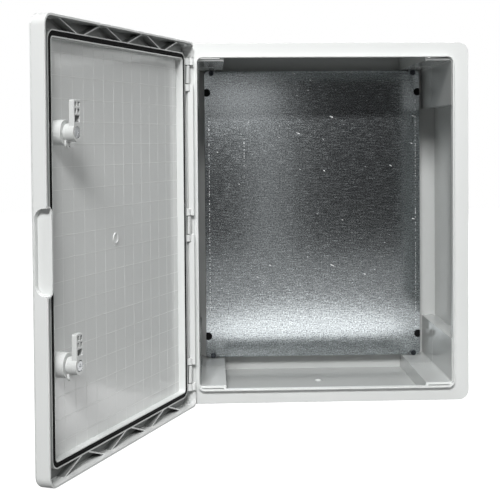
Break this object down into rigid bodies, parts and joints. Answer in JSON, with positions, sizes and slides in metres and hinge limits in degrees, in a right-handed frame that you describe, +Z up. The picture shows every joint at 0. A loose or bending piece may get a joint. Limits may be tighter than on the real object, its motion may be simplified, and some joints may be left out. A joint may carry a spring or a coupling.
{
  "type": "plastic electrical cabinet",
  "caption": "Wall-mounted plastic cabinet with a hinged sealed door, quarter-turn cam latches and a steel mounting plate",
  "frame": {"origin": "centre of the four wall holes on the cabinet's rear face", "axes": "+X right seen from the front, +Y into the wall, +Z up"},
  "size_m": [0.5466, 0.5971, 0.5],
  "materials": {
    "cabinet_plastic": "moulded, satin gloss",
    "latch_plastic": "moulded, satin gloss",
    "galvanised_steel": "galvanised sheet",
    "screw_steel": "black zinc",
    "pin_steel": "bright zinc",
    "seal_rubber": "foamed gasket"
  },
  "bodies": {
    "cabinet": {"cabinet_body": "cabinet_plastic", "mounting_plate": "galvanised_steel", "plate_post_top_left": "cabinet_plastic", "plate_post_top_right": "cabinet_plastic", "plate_post_bottom_left": "cabinet_plastic", "plate_post_bottom_right": "cabinet_plastic", "hinge_rail": "cabinet_plastic", "plate_screw_top_left": "screw_steel", "plate_screw_top_right": "screw_steel", "plate_screw_bottom_left": "screw_steel", "plate_screw_bottom_right": "screw_steel", "hinge_pin_top": "pin_steel", "hinge_pin_middle": "pin_steel", "hinge_pin_bottom": "pin_steel"},
    "door": {"door": "cabinet_plastic", "door_seal": "seal_rubber", "upper_latch_housing": "latch_plastic", "upper_latch_gasket": "seal_rubber", "upper_latch_nut": "latch_plastic", "lower_latch_housing": "latch_plastic", "lower_latch_gasket": "seal_rubber", "lower_latch_nut": "latch_plastic"},
    "upper_latch": {"upper_latch_rotor": "latch_plastic", "upper_latch_stop": "latch_plastic", "upper_latch_cam": "latch_plastic", "upper_latch_screw": "pin_steel"},
    "lower_latch": {"lower_latch_rotor": "latch_plastic", "lower_latch_stop": "latch_plastic", "lower_latch_cam": "latch_plastic", "lower_latch_screw": "pin_steel"}
  },
  "joints": [
    {"name": "door_hinge", "type": "hinge", "parent": "cabinet", "child": "door", "pos_m": [-0.192, -0.23, 0], "axis": [0, 0, -1], "range_deg": [-112, 0]},
    {"name": "upper_latch_turn", "type": "hinge", "parent": "door", "child": "upper_latch", "pos_m": [-0.33276, -0.5517, 0.125], "axis": [0.9272, -0.3746, 0], "range_deg": [0, 90]},
    {"name": "lower_latch_turn", "type": "hinge", "parent": "door", "child": "lower_latch", "pos_m": [-0.33276, -0.5517, -0.125], "axis": [0.9272, -0.3746, 0], "range_deg": [0, 90]}
  ]
}
